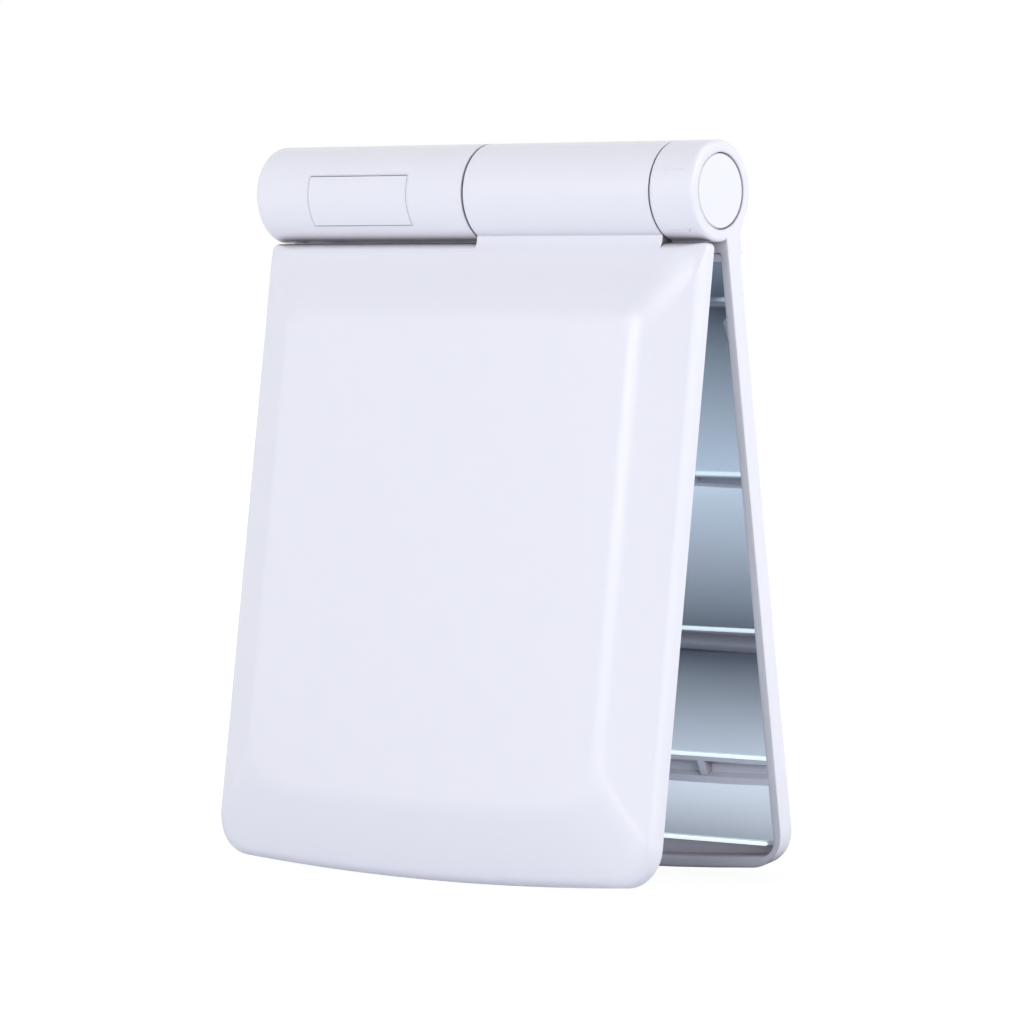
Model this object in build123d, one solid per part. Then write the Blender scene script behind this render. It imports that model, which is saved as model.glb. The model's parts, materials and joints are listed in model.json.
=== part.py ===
from build123d import *
import os
from math import atan, cos, pi, radians, sin, sqrt, tan

# Folding pocket mirror with lamps, standing open on its two leaves. Millimetres, +Z up.
# The barrel lies along X. The front leaf leans out towards -Y and the rear leaf towards +Y.
# Each leaf is drawn hanging straight down from the hinge axis, which is then the X axis, with +Y
# pointing out of its back. A distance down the leaf from the axis is called its drop.

# Hinge barrel
barrel_radius = 8.0
barrel_length = 88.7
tube_wall = 1.6
end_wall = 1.4
end_round = 0.7
ring_length = 8.15
middle_tube_length = 37.15
seam_gap = 0.3
opening_angle = 17.25

# Outline that both leaves share
leaf_barrel_gap = 0.5
leaf_length = 102.5
bottom_bow_radius = 510.0
bottom_corner_radius = 6.3
top_corner_radius = 1.0
closed_gap = 0.7

# How far a cutting shape runs past the face that it opens, and how close counts as the same place
overcut = 1.0
same_place = 0.01

# Rear leaf: a flat tray
rear_floor = 1.8
rear_rim = 1.4
rear_bottom_lip = 1.8
rear_pocket_radius = 3.0
back_round = 1.5
neck_round = 3.5
neck_overlap = 2.0

# Front leaf: a domed cover with a sloping border round a flat panel
side_wall_depth = 3.0
panel_depth = 7.0
side_bevel = 9.2
top_bevel = 12.4
bottom_bevel = 11.6
rim_round = 2.4
crease_round = 8.0
cover_wall = 1.4
neck_rise = 0.05
neck_sink = 0.05
rim_steps = 6
crease_steps = 5

# Mirrors and what holds them
glass_recess = 0.45
glass_gap = 0.2
bottom_strip = 5.2
glass_top_radius = 0.8
rear_glass_bottom_radius = 1.0
front_glass_bottom_radius = 3.0
glass_bevel_width = 0.8
glass_bevel_depth = 0.4
rear_glass = 1.8
front_glass = 1.2
tape_thickness = 0.2
tape_margin = 2.5
tape_corner = 1.0

# Frame inside the front leaf
frame_gap = 0.12
frame_plate = 0.95
frame_bar_recess = 0.25
frame_top_bar = 3.0
frame_ledge = 0.7
pocket_depth = 1.7
pocket_rib = 1.4
centre_pocket = 9.0
side_pocket = 25.0

# Lamps
lamp_rows = 4
last_lamp_rise = 20.4
window_width = 2.4
window_length = 6.0
window_gap = 0.06
well_gap = 0.15
emitter_width = 2.0
emitter_length = 3.0
emitter_height = 0.55
lens_gap = 0.05
board_width = 3.2
board_end = 7.0
board_thickness = 0.6
board_gap = 0.22
resistor_size = (1.0, 2.0, 0.45)

# Frame screws
screw_inset = 16.35
top_screw_below_leads = 2.9
bottom_screw_rise = 13.9
screw_shank = 0.75
screw_floor = 1.25
screw_end_gap = 0.1
screw_side_gap = 0.1
screw_head = 1.5
screw_head_height = 0.6
screw_gap = 0.02
boss_radius = 2.0

# Battery bay in the left tube
cell_count = 4
cell_radius = 3.95
cell_length = 3.6
cell_cap_radius = 3.3
cell_cap_length = 0.3
cell_gap = 0.1
contact_thickness = 0.35
contact_width = 5.0
contact_tab = 0.8
contact_tab_offset = 0.9
contact_leg_gap = 0.275
contact_tail = 1.5
contact_spring_length = 3.0
contact_spring_radius = 2.4
contact_wire = 0.5
contact_turns = 2
door_ledge = 1.2
door_room = 0.85
door_side_room = 0.135
door_gap = 0.12
door_rib = 1.2
bay_inset = 21.6
cradle_end = 3.6
cradle_gap = 0.05

# Hinge bushes and friction rings
bush_grip = 5.0
journal_length = 6.5
journal_gap = 0.05
bush_wall = 1.8
ring_groove_depth = 0.8
ring_width = 1.2
ring_gap = 0.02
ring_inset = 3.8

# Push button and switch
button_lip = 0.33
button_hole_gap = 0.15
button_recess = 0.05
button_crown = 0.35
button_flange_gap = 0.15
button_flange_thickness = 0.85
button_skirt_wall = 1.0
button_skirt_length = 4.6
button_boss_radius = 2.2
button_boss_length = 5.1
button_merge = 0.2
button_travel = 0.8
button_slide_gap = 0.08
plunger_radius = 1.52
plunger_socket = 1.5
plunger_grip = 1.0
plunger_merge = 0.1
plunger_end_gap = 0.2
housing_wall = 1.4
housing_floor = 1.0
housing_journal = 7.9
switch_side = 5.2
switch_height = 4.0
switch_board_thickness = 0.8
button_spring_gap = 0.32
button_spring_wire = 0.4
button_spring_turns = 5

# Wires
power_wire = 0.9
led_wire = 0.6
led_wire_pitch = 1.2
led_wire_spread = 0.45
led_wire_turn = 3.45
led_wire_slant = 1.0
led_wire_fall = 2.1
led_wire_bend = 1.2
lead_gap = 0.08
lead_end_gap = 0.3
wire_hole_gap = 0.15
neck_slot_gap = 0.5
wire_sides = 8

# The barrel and the two leaves
half_width = barrel_length / 2
bore_radius = barrel_radius - tube_wall
leaf_top = barrel_radius + leaf_barrel_gap
leaf_bottom = leaf_top + leaf_length
rim_face = closed_gap / 2
lean = opening_angle / 2
hinge_height = leaf_bottom * cos(radians(lean)) - rim_face * sin(radians(lean))
seam_right = half_width - ring_length
seam_left = seam_right - middle_tube_length
left_tube_end = seam_left - seam_gap / 2
middle_left = seam_left + seam_gap / 2
middle_right = seam_right - seam_gap / 2
ring_start = seam_right + seam_gap / 2
ring_inside = half_width - end_wall
neck_depth = side_wall_depth + neck_rise
top_slope = atan((panel_depth - side_wall_depth) / top_bevel)
side_slope = atan((panel_depth - side_wall_depth) / side_bevel)

# Depths of the layers in each leaf
glass_face = rim_face + glass_recess
rear_glass_back = glass_face + rear_glass
rear_tray = rear_glass_back + tape_thickness
rear_back = rear_tray + rear_floor
rear_thickness = rear_back - rim_face
front_glass_back = glass_face + front_glass
plate_face = front_glass_back + tape_thickness
plate_back = plate_face + frame_plate
bar_face = rim_face + frame_bar_recess
board_back = plate_back + board_thickness

# The glasses
glass_bottom = leaf_bottom - bottom_strip
rear_glass_top = leaf_top + rear_rim + glass_gap
rear_glass_half = half_width - rear_rim - glass_gap
front_glass_top = leaf_top + cover_wall + frame_top_bar + glass_gap
front_glass_half = half_width - cover_wall - glass_gap

# The lamp leads come down the inside of the cover's top border and turn out towards the boards
neck_end = leaf_top + cover_wall
border_inside = side_wall_depth - cover_wall / cos(top_slope)
lead_depth = border_inside + cover_wall * tan(top_slope) - led_wire / 2 - lead_gap
lead_deep = board_back + led_wire / 2
lead_knee = neck_end + (lead_deep - lead_depth) / tan(top_slope)
lead_turn = lead_knee + led_wire_fall

# Boards, lamps and frame screws
board_top = lead_turn - led_wire
board_inset = (board_back + board_gap + cover_wall / cos(side_slope) - side_wall_depth) / tan(side_slope)
lamp_offset = half_width - board_inset - board_width / 2
first_lamp = board_top + board_end
last_lamp = leaf_bottom - last_lamp_rise
lamp_pitch = (last_lamp - first_lamp) / (lamp_rows - 1)
lamp_drops = [first_lamp + row * lamp_pitch for row in range(lamp_rows)]
screw_offset = half_width - screw_inset
top_screw = lead_turn + top_screw_below_leads
bottom_screw = leaf_bottom - bottom_screw_rise
screw_drops = (top_screw, (top_screw + bottom_screw) / 2, bottom_screw)
screw_hole_end = panel_depth - screw_floor

# The battery bay
bay_length = cell_count * cell_length + contact_spring_length + 2 * contact_thickness
bay_middle = -half_width + bay_inset
bay_left = bay_middle - bay_length / 2
bay_right = bay_middle + bay_length / 2
door_left = bay_left - door_ledge
door_right = bay_right + door_ledge
door_half_chord = cell_radius + door_side_room
cradle_left = bay_left - cradle_end
cradle_right = bay_right + cradle_end
cell_offset = bore_radius - cell_radius - door_room
leg_face = cell_radius - cell_offset + contact_leg_gap
leg_back = leg_face + contact_thickness
power_wire_depth = leg_face - power_wire / 2

# The bushes, the push button and its switch, from the ring's end inwards
bush_bore = bore_radius - bush_wall
button_hole = bore_radius - button_lip
button_radius = button_hole - button_hole_gap
flange_front = ring_inside - button_recess
flange_back = flange_front - button_flange_thickness
boss_end = flange_back - button_boss_length
skirt_radius = bore_radius - housing_wall - button_slide_gap
housing_front = flange_back - button_travel - button_slide_gap
housing_left = middle_right - housing_journal
floor_right = housing_left + housing_floor
switch_board_face = floor_right + switch_board_thickness
switch_front = switch_board_face + switch_height
switch_well = switch_front - switch_height / 2
button_spring_radius = button_boss_radius + button_spring_wire / 2 + button_spring_gap
led_wire_x = housing_left - led_wire_turn


def pane(depth, half, upper, lower, top_radius, bottom_radius, bow=0.0):
    """A leaf-shaped face at one depth behind the hinge axis, from an upper to a lower drop."""
    lift = bow - sqrt(bow * bow - half * half) if bow else 0.0
    foot = lift - lower
    with BuildSketch(Plane.XZ.offset(-depth)) as sketch:
        with BuildLine():
            Polyline((-half, foot), (-half, -upper), (half, -upper), (half, foot))
            if bow:
                RadiusArc((half, foot), (-half, foot), bow)
            else:
                Line((half, foot), (-half, foot))
        make_face()
        middle = -(upper + lower) / 2
        fillet([v for v in sketch.vertices() if v.Y > middle], top_radius)
        fillet([v for v in sketch.vertices() if v.Y < middle], bottom_radius)
    return sketch.sketch


def leaf_outline(depth, side, top, bottom, top_radius, bottom_radius):
    """The leaves' common outline at one depth, moved in from each edge."""
    return pane(depth, half_width - side, leaf_top + top, leaf_bottom - bottom,
                top_radius, bottom_radius, bottom_bow_radius - bottom)


def slab(face, thickness):
    """A plate that grows outwards, along +Y, from a face."""
    return extrude(face, amount=thickness, dir=(0, 1, 0))


def block(x0, x1, y0, y1, drop0, drop1):
    """A box between two X values, two depths and two drops."""
    size = (x1 - x0, y1 - y0, drop1 - drop0)
    return Pos((x0 + x1) / 2, (y0 + y1) / 2, -(drop0 + drop1) / 2) * Box(*size)


def rod(x0, x1, radius, y=0.0, z=0.0):
    """A round bar along X."""
    return Pos((x0 + x1) / 2, y, z) * Rot(Y=90) * Cylinder(radius, x1 - x0)


def peg(x, drop, y0, y1, radius):
    """A round bar along Y."""
    return Pos(x, (y0 + y1) / 2, -drop) * Rot(X=90) * Cylinder(radius, y1 - y0)


def bevel_slope(bevel):
    """Angle between a sloping border and the flat panel."""
    return atan((panel_depth - side_wall_depth) / bevel)


def border_inset(depth, bevel):
    """How far inside the leaf's edge the cover's outer surface lies at one depth."""
    slope = bevel_slope(bevel)
    rim_run = rim_round * tan((pi / 2 - slope) / 2)
    crease_run = crease_round * tan(slope / 2)
    rim_start = side_wall_depth - rim_run
    if depth <= rim_start:
        return 0.0
    if depth < side_wall_depth + rim_run * sin(slope):
        return rim_round - sqrt(rim_round ** 2 - (depth - rim_start) ** 2)
    if depth <= panel_depth - crease_run * sin(slope):
        return (depth - side_wall_depth) / tan(slope)
    reach = depth - panel_depth + crease_round
    return bevel + crease_run - sqrt(max(crease_round ** 2 - reach ** 2, 0.0))


def cover_section(depth):
    """The front cover's outline at one depth."""
    bottom = border_inset(depth, bottom_bevel)
    corner = max(bottom_corner_radius - bottom, bottom_corner_radius / 2)
    return leaf_outline(depth, border_inset(depth, side_bevel), border_inset(depth, top_bevel),
                        bottom, top_corner_radius, corner)


def cover_form():
    """The front cover's outer form, through sections that follow its two rounded edges."""
    rim_start = side_wall_depth - rim_round * tan((pi / 2 - side_slope) / 2)
    depths = [rim_face]
    for step in range(rim_steps + 1):
        depths.append(rim_start + rim_round * sin((pi / 2 - side_slope) * step / rim_steps))
    for step in range(crease_steps + 1):
        turn = side_slope * (1 - step / crease_steps)
        depths.append(panel_depth - crease_round * (1 - cos(turn)))
    return loft([cover_section(depth) for depth in depths], ruled=True)


def cavity_form(wall):
    """The space inside the front cover, or what fits in it where the wall is given a gap."""
    slopes = [bevel_slope(bevel) for bevel in (side_bevel, top_bevel, bottom_bevel)]
    knee = min(side_wall_depth + wall * tan(slope) - wall / cos(slope) for slope in slopes)
    floor = panel_depth - wall
    side, top, bottom = [(floor + wall / cos(slope) - side_wall_depth) / tan(slope) for slope in slopes]
    corner = bottom_corner_radius - wall
    top_corner = top_corner_radius / 2
    sections = [
        leaf_outline(0.0, wall, wall, wall, top_corner, corner),
        leaf_outline(knee, wall, wall, wall, top_corner, corner),
        leaf_outline(floor, side, top, bottom, top_corner, corner / 2),
    ]
    return loft(sections, ruled=True)


def ring_section(x0, x1, outer, inner):
    """A tube along X."""
    return rod(x0, x1, outer) - rod(x0 - overcut, x1 + overcut, inner)


def helix_arcs(radius, rise, turns):
    """A helix about Z as arcs that run smoothly into each other, two to each half turn."""
    def place(turn):
        return Vector(radius * cos(2 * pi * turn), radius * sin(2 * pi * turn), rise * turn)

    def heading(turn):
        along = 2 * pi * radius
        return Vector(-along * sin(2 * pi * turn), along * cos(2 * pi * turn), rise).normalized()

    arcs = []
    for half_turn in range(2 * turns):
        start, end = half_turn / 2, (half_turn + 1) / 2
        chord = place(end) - place(start)
        lead = heading(start) + heading(end)
        middle = chord.dot(lead)
        spare = 4 - lead.dot(lead)
        reach = (sqrt(middle ** 2 + spare * chord.dot(chord)) - middle) / spare
        first_knee = place(start) + heading(start) * reach
        second_knee = place(end) - heading(end) * reach
        halfway = (first_knee + second_knee) / 2
        arcs.append(Edge.make_tangent_arc(place(start), heading(start), halfway))
        arcs.append(Edge.make_tangent_arc(halfway, second_knee - first_knee, place(end)))
    return Wire(arcs)


def along_path(path, diameter):
    """A wire of many flat sides along a path."""
    section = Plane(origin=path @ 0, z_dir=path % 0) * RegularPolygon(diameter / 2, wire_sides)
    return sweep(section, path=path)


def coil(x0, x1, radius, diameter, turns, y=0.0):
    """An open coil spring along X that fills the space from x0 to x1."""
    path = helix_arcs(radius, (x1 - x0 - diameter) / turns, turns)
    return Pos(x0 + diameter / 2, y, 0) * Rot(Y=90) * along_path(path, diameter)


# Rear leaf and what the barrel's two outer sections hold

def rear_barrel(x0, x1):
    """One outer section of the barrel, with the neck that carries the rear leaf."""
    circle = Circle(barrel_radius)
    reach = leaf_top + neck_overlap
    neck = Pos((rim_face + rear_back) / 2, -reach / 2) * Rectangle(rear_thickness, reach)
    profile = circle + neck
    throat = [v for v in profile.vertices() if v.X > rear_back / 2 and -leaf_top < v.Y < -rim_face]
    profile = fillet(throat, neck_round)
    return extrude(Plane.YZ * profile, amount=x1 - x0).moved(Location((x0, 0, 0)))


def end_edge(shape, x):
    """The barrel's round edge in the plane at x."""
    edges = [e for e in shape.edges().filter_by(GeomType.CIRCLE) if abs(e.center().X - x) < same_place]
    return [e for e in edges if abs(e.radius - barrel_radius) < same_place]


def door_opening(gap):
    """The space of the battery door's opening, less a gap all round."""
    chord = door_half_chord - gap
    return block(door_left + gap, door_right - gap, -barrel_radius - overcut, 0, -chord, chord)


def make_rear_shell():
    """The rear leaf's tray with the barrel's left tube and right ring in one piece."""
    tray = slab(leaf_outline(rim_face, 0, 0, 0, top_corner_radius, bottom_corner_radius), rear_thickness)
    tray = fillet([e for e in tray.edges() if e.bounding_box().min.Y > rear_back - same_place], back_round)
    left = rear_barrel(-half_width, left_tube_end)
    left = fillet(end_edge(left, -half_width), end_round)
    right = rear_barrel(ring_start, half_width)
    right = fillet(end_edge(right, half_width), end_round)
    shell = tray + left + right
    pocket = leaf_outline(0, rear_rim, rear_rim, rear_bottom_lip, top_corner_radius / 2, rear_pocket_radius)
    shell -= slab(pocket, rear_tray)
    shell -= rod(-half_width + end_wall, left_tube_end + overcut, bore_radius)
    shell -= rod(ring_start - overcut, ring_inside, bore_radius)
    shell -= rod(ring_inside - overcut, half_width + overcut, button_hole)
    return shell - door_opening(0.0)


def bevel_foot(glass):
    """Bevel the bottom edge of a pane on the viewed side."""
    before = glass_face - glass_bevel_depth
    below = -glass_bottom - glass_bevel_width
    corners = [
        (before, below),
        (before, below + 3 * glass_bevel_width),
        (before + 3 * glass_bevel_depth, below),
    ]
    wedge = make_face(Polyline(*corners, close=True))
    return glass - extrude(Plane.YZ * wedge, amount=half_width, both=True)


def make_rear_mirror():
    face = pane(glass_face, rear_glass_half, rear_glass_top, glass_bottom,
                glass_top_radius, rear_glass_bottom_radius)
    return bevel_foot(slab(face, rear_glass))


def tape(depth, half, upper):
    """A sheet of tape a little smaller than the glass that it holds."""
    return slab(pane(depth, half - tape_margin, upper + tape_margin, glass_bottom - tape_margin,
                     tape_corner, tape_corner), tape_thickness)


def make_rear_mirror_tape():
    return tape(rear_glass_back, rear_glass_half, rear_glass_top)


def make_battery_door():
    """A curved lid the size of its opening less a gap, with a rib that steadies the cells."""
    wall = ring_section(door_left, door_right, barrel_radius, bore_radius)
    lid = wall & door_opening(door_gap)
    cells_top = -cell_offset - cell_radius - cell_gap
    rib = block(bay_left + door_ledge, bay_right - door_ledge, -bore_radius - tube_wall / 2, cells_top,
                -door_rib / 2, door_rib / 2)
    return lid + rib


def make_battery_cradle():
    """A round carrier in the left tube with a trough for the cells and slots for the contacts."""
    body = rod(cradle_left, cradle_right, bore_radius - cradle_gap)
    trough = rod(bay_left, bay_right, cell_radius + cell_gap, y=-cell_offset)
    mouth = block(bay_left, bay_right, -barrel_radius, -cell_offset,
                  -cell_radius - cell_gap, cell_radius + cell_gap)
    half_tab = contact_tab / 2 + cell_gap
    top, bottom = leg_back - contact_width / 2, leg_back + cell_gap
    plus = block(bay_right - contact_thickness, cradle_right + overcut, top, bottom,
                 -contact_tab_offset - half_tab, -contact_tab_offset + half_tab)
    minus = block(bay_left, cradle_right + overcut, top, bottom,
                  contact_tab_offset - half_tab, contact_tab_offset + half_tab)
    return body - trough - mouth - plus - minus


def make_battery_cells():
    """Button cells in a row, each with its smaller cap towards the spring."""
    cells = []
    start = bay_left + contact_thickness + contact_spring_length
    for number in range(cell_count):
        x = start + number * cell_length
        can = rod(x + cell_cap_length, x + cell_length, cell_radius, y=-cell_offset)
        cells.append(can + rod(x, x + cell_length / 2, cell_cap_radius, y=-cell_offset))
    return cells


def contact_leg(x0, x1, drop):
    """The narrow strip that runs from a contact out of the cradle, to the wire soldered on it."""
    return block(x0, x1, leg_face, leg_back, drop - contact_tab / 2, drop + contact_tab / 2)


def contact_face(x0, drop):
    """The upright face of a contact, with a foot that reaches its leg."""
    face = block(x0, x0 + contact_thickness, -cell_offset - contact_width / 2,
                 -cell_offset + contact_width / 2, -contact_width / 2, contact_width / 2)
    foot = block(x0, x0 + contact_thickness, -cell_offset, leg_back,
                 drop - contact_tab / 2, drop + contact_tab / 2)
    return face + foot


def make_contact(x, drop):
    """A contact: its upright face at x and the leg that runs from it."""
    return contact_face(x, drop) + contact_leg(x, cradle_right + contact_tail, drop)


def make_contact_spring():
    start = bay_left + contact_thickness
    return coil(start, start + contact_spring_length, contact_spring_radius, contact_wire,
                contact_turns, y=-cell_offset)


def groove(middle, outer):
    """The cut in a journal that takes a friction ring."""
    return ring_section(middle - ring_width / 2, middle + ring_width / 2, outer + overcut,
                        bore_radius - ring_groove_depth)


def make_hinge_bush():
    """A hollow bush, held in the left tube, that the middle tube turns on."""
    held = rod(left_tube_end - bush_grip, left_tube_end, bore_radius)
    journal = rod(left_tube_end, middle_left + journal_length, bore_radius - journal_gap)
    bore = rod(left_tube_end - bush_grip - overcut, middle_left + journal_length + overcut, bush_bore)
    return held + journal - bore - groove(middle_left + ring_inset, bore_radius)


def friction_ring(middle):
    return ring_section(middle - ring_width / 2, middle + ring_width / 2, bore_radius - ring_gap,
                        bore_radius - ring_groove_depth)


def make_button_housing():
    """A cup held in the ring that carries the switch and is the right hinge bush."""
    held = rod(ring_start, housing_front, bore_radius)
    journal = rod(housing_left, ring_start, bore_radius - journal_gap)
    hollow = rod(floor_right, housing_front + overcut, bore_radius - housing_wall)
    cup = held + journal - hollow - groove(middle_right - ring_inset, bore_radius)
    hole = power_wire / 2 + wire_hole_gap
    for z in (-contact_tab_offset, contact_tab_offset):
        cup -= rod(housing_left - overcut, floor_right + overcut, hole, y=power_wire_depth, z=z)
    return cup - rod(housing_left - overcut, floor_right + overcut, led_wire + wire_hole_gap)


def make_switch_board():
    return rod(floor_right, switch_board_face, skirt_radius)


def make_switch_body():
    body = block(switch_board_face, switch_front, -switch_side / 2, switch_side / 2,
                 -switch_side / 2, switch_side / 2)
    return body - rod(switch_well, switch_front + overcut, plunger_radius + button_slide_gap)


def make_push_button():
    """A round cap with a retaining flange, a guiding skirt and a boss for the plunger."""
    cap = rod(flange_front, half_width - button_recess, button_radius)
    rim = [e for e in cap.edges() if abs(e.center().X - half_width + button_recess) < same_place]
    cap = fillet(rim, button_crown)
    flange = rod(flange_back, flange_front, bore_radius - button_flange_gap)
    skirt = ring_section(flange_back - button_skirt_length, flange_back + button_merge, skirt_radius,
                         skirt_radius - button_skirt_wall)
    boss = rod(boss_end, flange_back + button_merge, button_boss_radius)
    socket = rod(boss_end - overcut, boss_end + plunger_grip, plunger_socket)
    return cap + flange + skirt + boss - socket


def make_switch_plunger():
    """The switch's stem: wide in the switch, narrower where it is pressed into the button."""
    bottom = switch_well + button_travel + plunger_end_gap
    neck = rod(boss_end - plunger_merge, boss_end + plunger_grip, plunger_socket)
    return rod(bottom, boss_end, plunger_radius) + neck


def make_button_spring():
    return coil(switch_front, flange_back, button_spring_radius, button_spring_wire, button_spring_turns)


def make_power_leads():
    """Two wires from the battery contacts through the hollow bush to the switch board."""
    return [rod(cradle_right, floor_right, power_wire / 2, y=power_wire_depth, z=z)
            for z in (-contact_tab_offset, contact_tab_offset)]


# Front leaf

def windows(depth, thickness, gap=0.0, past=0.0):
    """The slots, or what fills them, of the lamp windows on both sides."""
    slots = []
    for x in (-lamp_offset, lamp_offset):
        for drop in lamp_drops:
            outline = SlotOverall(window_length + 2 * gap, window_width + 2 * gap, rotation=90)
            slots.append(slab(Plane.XZ.offset(past - depth) * Pos(x, -drop) * outline, thickness + 2 * past))
    return slots


def screw_places():
    return [(x, drop) for x in (-screw_offset, screw_offset) for drop in screw_drops]


def neck_form():
    """The solid neck between the middle tube and the cover's top edge, as a profile along X."""
    fall = rim_round
    slope = tan(top_slope)
    meet = leaf_top + neck_rise / slope
    tuck = barrel_radius - tube_wall / 2
    points = [
        (rim_face, -tuck),
        (rim_face, -leaf_top - fall),
        (side_wall_depth + fall * slope - neck_sink, -leaf_top - fall),
        (neck_depth, -meet),
        (neck_depth, -sqrt(tuck ** 2 - neck_depth ** 2)),
    ]
    profile = make_face(Polyline(*points, close=True))
    return extrude(Plane.YZ * profile, amount=middle_right - middle_left).moved(Location((middle_left, 0, 0)))


def lead_slot(y0, y1, drop0, drop1):
    """The passage for both lamp leads between two depths and two drops."""
    half = (led_wire_pitch + led_wire) / 2 + neck_slot_gap
    return block(led_wire_x - half, led_wire_x + half, y0, y1, drop0, drop1)


def make_front_cover():
    """The domed cover with its neck, the barrel's middle tube and the bosses for the frame."""
    cover = cover_form() + neck_form() + rod(middle_left, middle_right, barrel_radius)
    cover -= rod(middle_left - overcut, middle_right + overcut, bore_radius)
    cover -= cavity_form(cover_wall)
    for x, drop in screw_places():
        cover += peg(x, drop, plate_back, panel_depth - cover_wall / 2, boss_radius)
        cover -= peg(x, drop, plate_back - overcut, screw_hole_end, screw_shank + screw_gap)
    half_slot = led_wire / 2 + wire_hole_gap
    return cover - lead_slot(lead_depth - half_slot, lead_depth + half_slot,
                             bore_radius - tube_wall, neck_end + rim_face)


def make_front_frame():
    """The plate under the lit mirror, with a bar above it and a ribbed strip below it."""
    envelope = cavity_form(cover_wall + frame_gap)
    left, right = -half_width, half_width
    plate = envelope & block(left, right, plate_face, plate_back, 0, leaf_bottom)
    top_bar = envelope & block(left, right, bar_face, plate_back, 0, front_glass_top - glass_gap)
    strip_drop = glass_bottom + glass_gap
    strip = envelope & block(left, right, bar_face, plate_back, strip_drop, leaf_bottom)
    frame = plate + top_bar + strip
    pocket_top = strip_drop + frame_ledge
    first = centre_pocket / 2 + pocket_rib
    for x0, x1 in ((-first - side_pocket, -first), (-centre_pocket / 2, centre_pocket / 2),
                   (first, first + side_pocket)):
        frame -= block(x0, x1, 0, bar_face + pocket_depth, pocket_top, leaf_bottom)
    for well in windows(plate_face, frame_plate, well_gap, overcut):
        frame -= well
    for x, drop in screw_places():
        frame -= peg(x, drop, plate_face - overcut, plate_back + overcut, screw_shank + screw_side_gap)
        frame -= screw_cone(x, drop, screw_gap)
    tunnel_top = lead_depth - led_wire / 2 - wire_hole_gap
    return frame - lead_slot(tunnel_top, panel_depth, leaf_top, board_top)


def screw_cone(x, drop, gap=0.0):
    """A countersunk head, its flat top level with the frame plate's face."""
    cone = Cone(screw_head + gap, screw_shank + gap, screw_head_height)
    return Pos(x, plate_face + screw_head_height / 2, -drop) * Rot(X=-90) * cone


def make_frame_screws():
    screws = []
    for x, drop in screw_places():
        shank = peg(x, drop, plate_face + screw_head_height / 2, screw_hole_end - screw_end_gap, screw_shank)
        screws.append(screw_cone(x, drop) + shank)
    return screws


def make_lit_mirror():
    face = pane(glass_face, front_glass_half, front_glass_top, glass_bottom,
                glass_top_radius, front_glass_bottom_radius)
    glass = bevel_foot(slab(face, front_glass))
    for slot in windows(glass_face, front_glass, window_gap, overcut):
        glass -= slot
    return glass


def make_front_mirror_tape():
    sheet = tape(front_glass_back, front_glass_half, front_glass_top)
    for slot in windows(front_glass_back, tape_thickness, well_gap, overcut):
        sheet -= slot
    return sheet


def make_led_lenses():
    return windows(glass_face, plate_back - emitter_height - lens_gap - glass_face)


def make_led_board(side):
    x = side * lamp_offset
    return block(x - board_width / 2, x + board_width / 2, plate_back, board_back,
                 board_top, lamp_drops[-1] + board_end)


def make_led_emitters():
    emitters = []
    for x in (-lamp_offset, lamp_offset):
        for drop in lamp_drops:
            emitters.append(block(x - emitter_width / 2, x + emitter_width / 2,
                                  plate_back - emitter_height, plate_back,
                                  drop - emitter_length / 2, drop + emitter_length / 2))
    return emitters


def make_led_resistors():
    width, length, height = resistor_size
    drop = (lamp_drops[0] + lamp_drops[1]) / 2
    return [block(x - width / 2, x + width / 2, board_back, board_back + height,
                  drop - length / 2, drop + length / 2) for x in (-lamp_offset, lamp_offset)]


def make_led_leads():
    """Two leads from the middle of the barrel, down through the neck and out to the boards."""
    leads = []
    for side in (-1, 1):
        x = led_wire_x + side * led_wire_pitch / 2
        y = -side * led_wire_spread
        points = [
            (housing_left - lead_end_gap, y, 0.0),
            (x, y, 0.0),
            (x, lead_depth, led_wire_slant - bore_radius),
            (x, lead_depth, -neck_end),
            (x, lead_deep, -lead_knee),
            (x, lead_deep, -lead_turn),
            (side * lamp_offset, lead_deep, -lead_turn),
        ]
        leads.append(along_path(FilletPolyline(*points, radius=led_wire_bend), led_wire))
    return leads


# Every piece by its node's name, drawn in its own leaf's frame
rear_pieces = {
    "rear_shell": make_rear_shell(),
    "rear_mirror": make_rear_mirror(),
    "rear_mirror_tape": make_rear_mirror_tape(),
    "battery_door": make_battery_door(),
    "battery_cradle": make_battery_cradle(),
    "battery_cells": make_battery_cells(),
    "contact_plate": make_contact(bay_right - contact_thickness, -contact_tab_offset),
    "contact_strip": make_contact(bay_left, contact_tab_offset),
    "contact_spring": make_contact_spring(),
    "power_leads": make_power_leads(),
    "hinge_bush": make_hinge_bush(),
    "friction_ring_left": friction_ring(middle_left + ring_inset),
    "friction_ring_right": friction_ring(middle_right - ring_inset),
    "button_housing": make_button_housing(),
    "switch_body": make_switch_body(),
    "switch_board": make_switch_board(),
    "push_button": make_push_button(),
    "switch_plunger": make_switch_plunger(),
    "button_spring": make_button_spring(),
}
front_pieces = {
    "front_cover": make_front_cover(),
    "front_frame": make_front_frame(),
    "lit_mirror": make_lit_mirror(),
    "front_mirror_tape": make_front_mirror_tape(),
    "led_lenses": make_led_lenses(),
    "led_board_left": make_led_board(-1),
    "led_board_right": make_led_board(1),
    "led_emitters": make_led_emitters(),
    "led_resistors": make_led_resistors(),
    "led_leads": make_led_leads(),
    "frame_screws": make_frame_screws(),
}


def gather(piece):
    """One shape for a piece, also where it is a group of separate solids."""
    solids = []
    for part in piece if isinstance(piece, list) else [piece]:
        solids.extend(part.solids())
    return Compound(solids) if len(solids) > 1 else solids[0]


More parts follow.
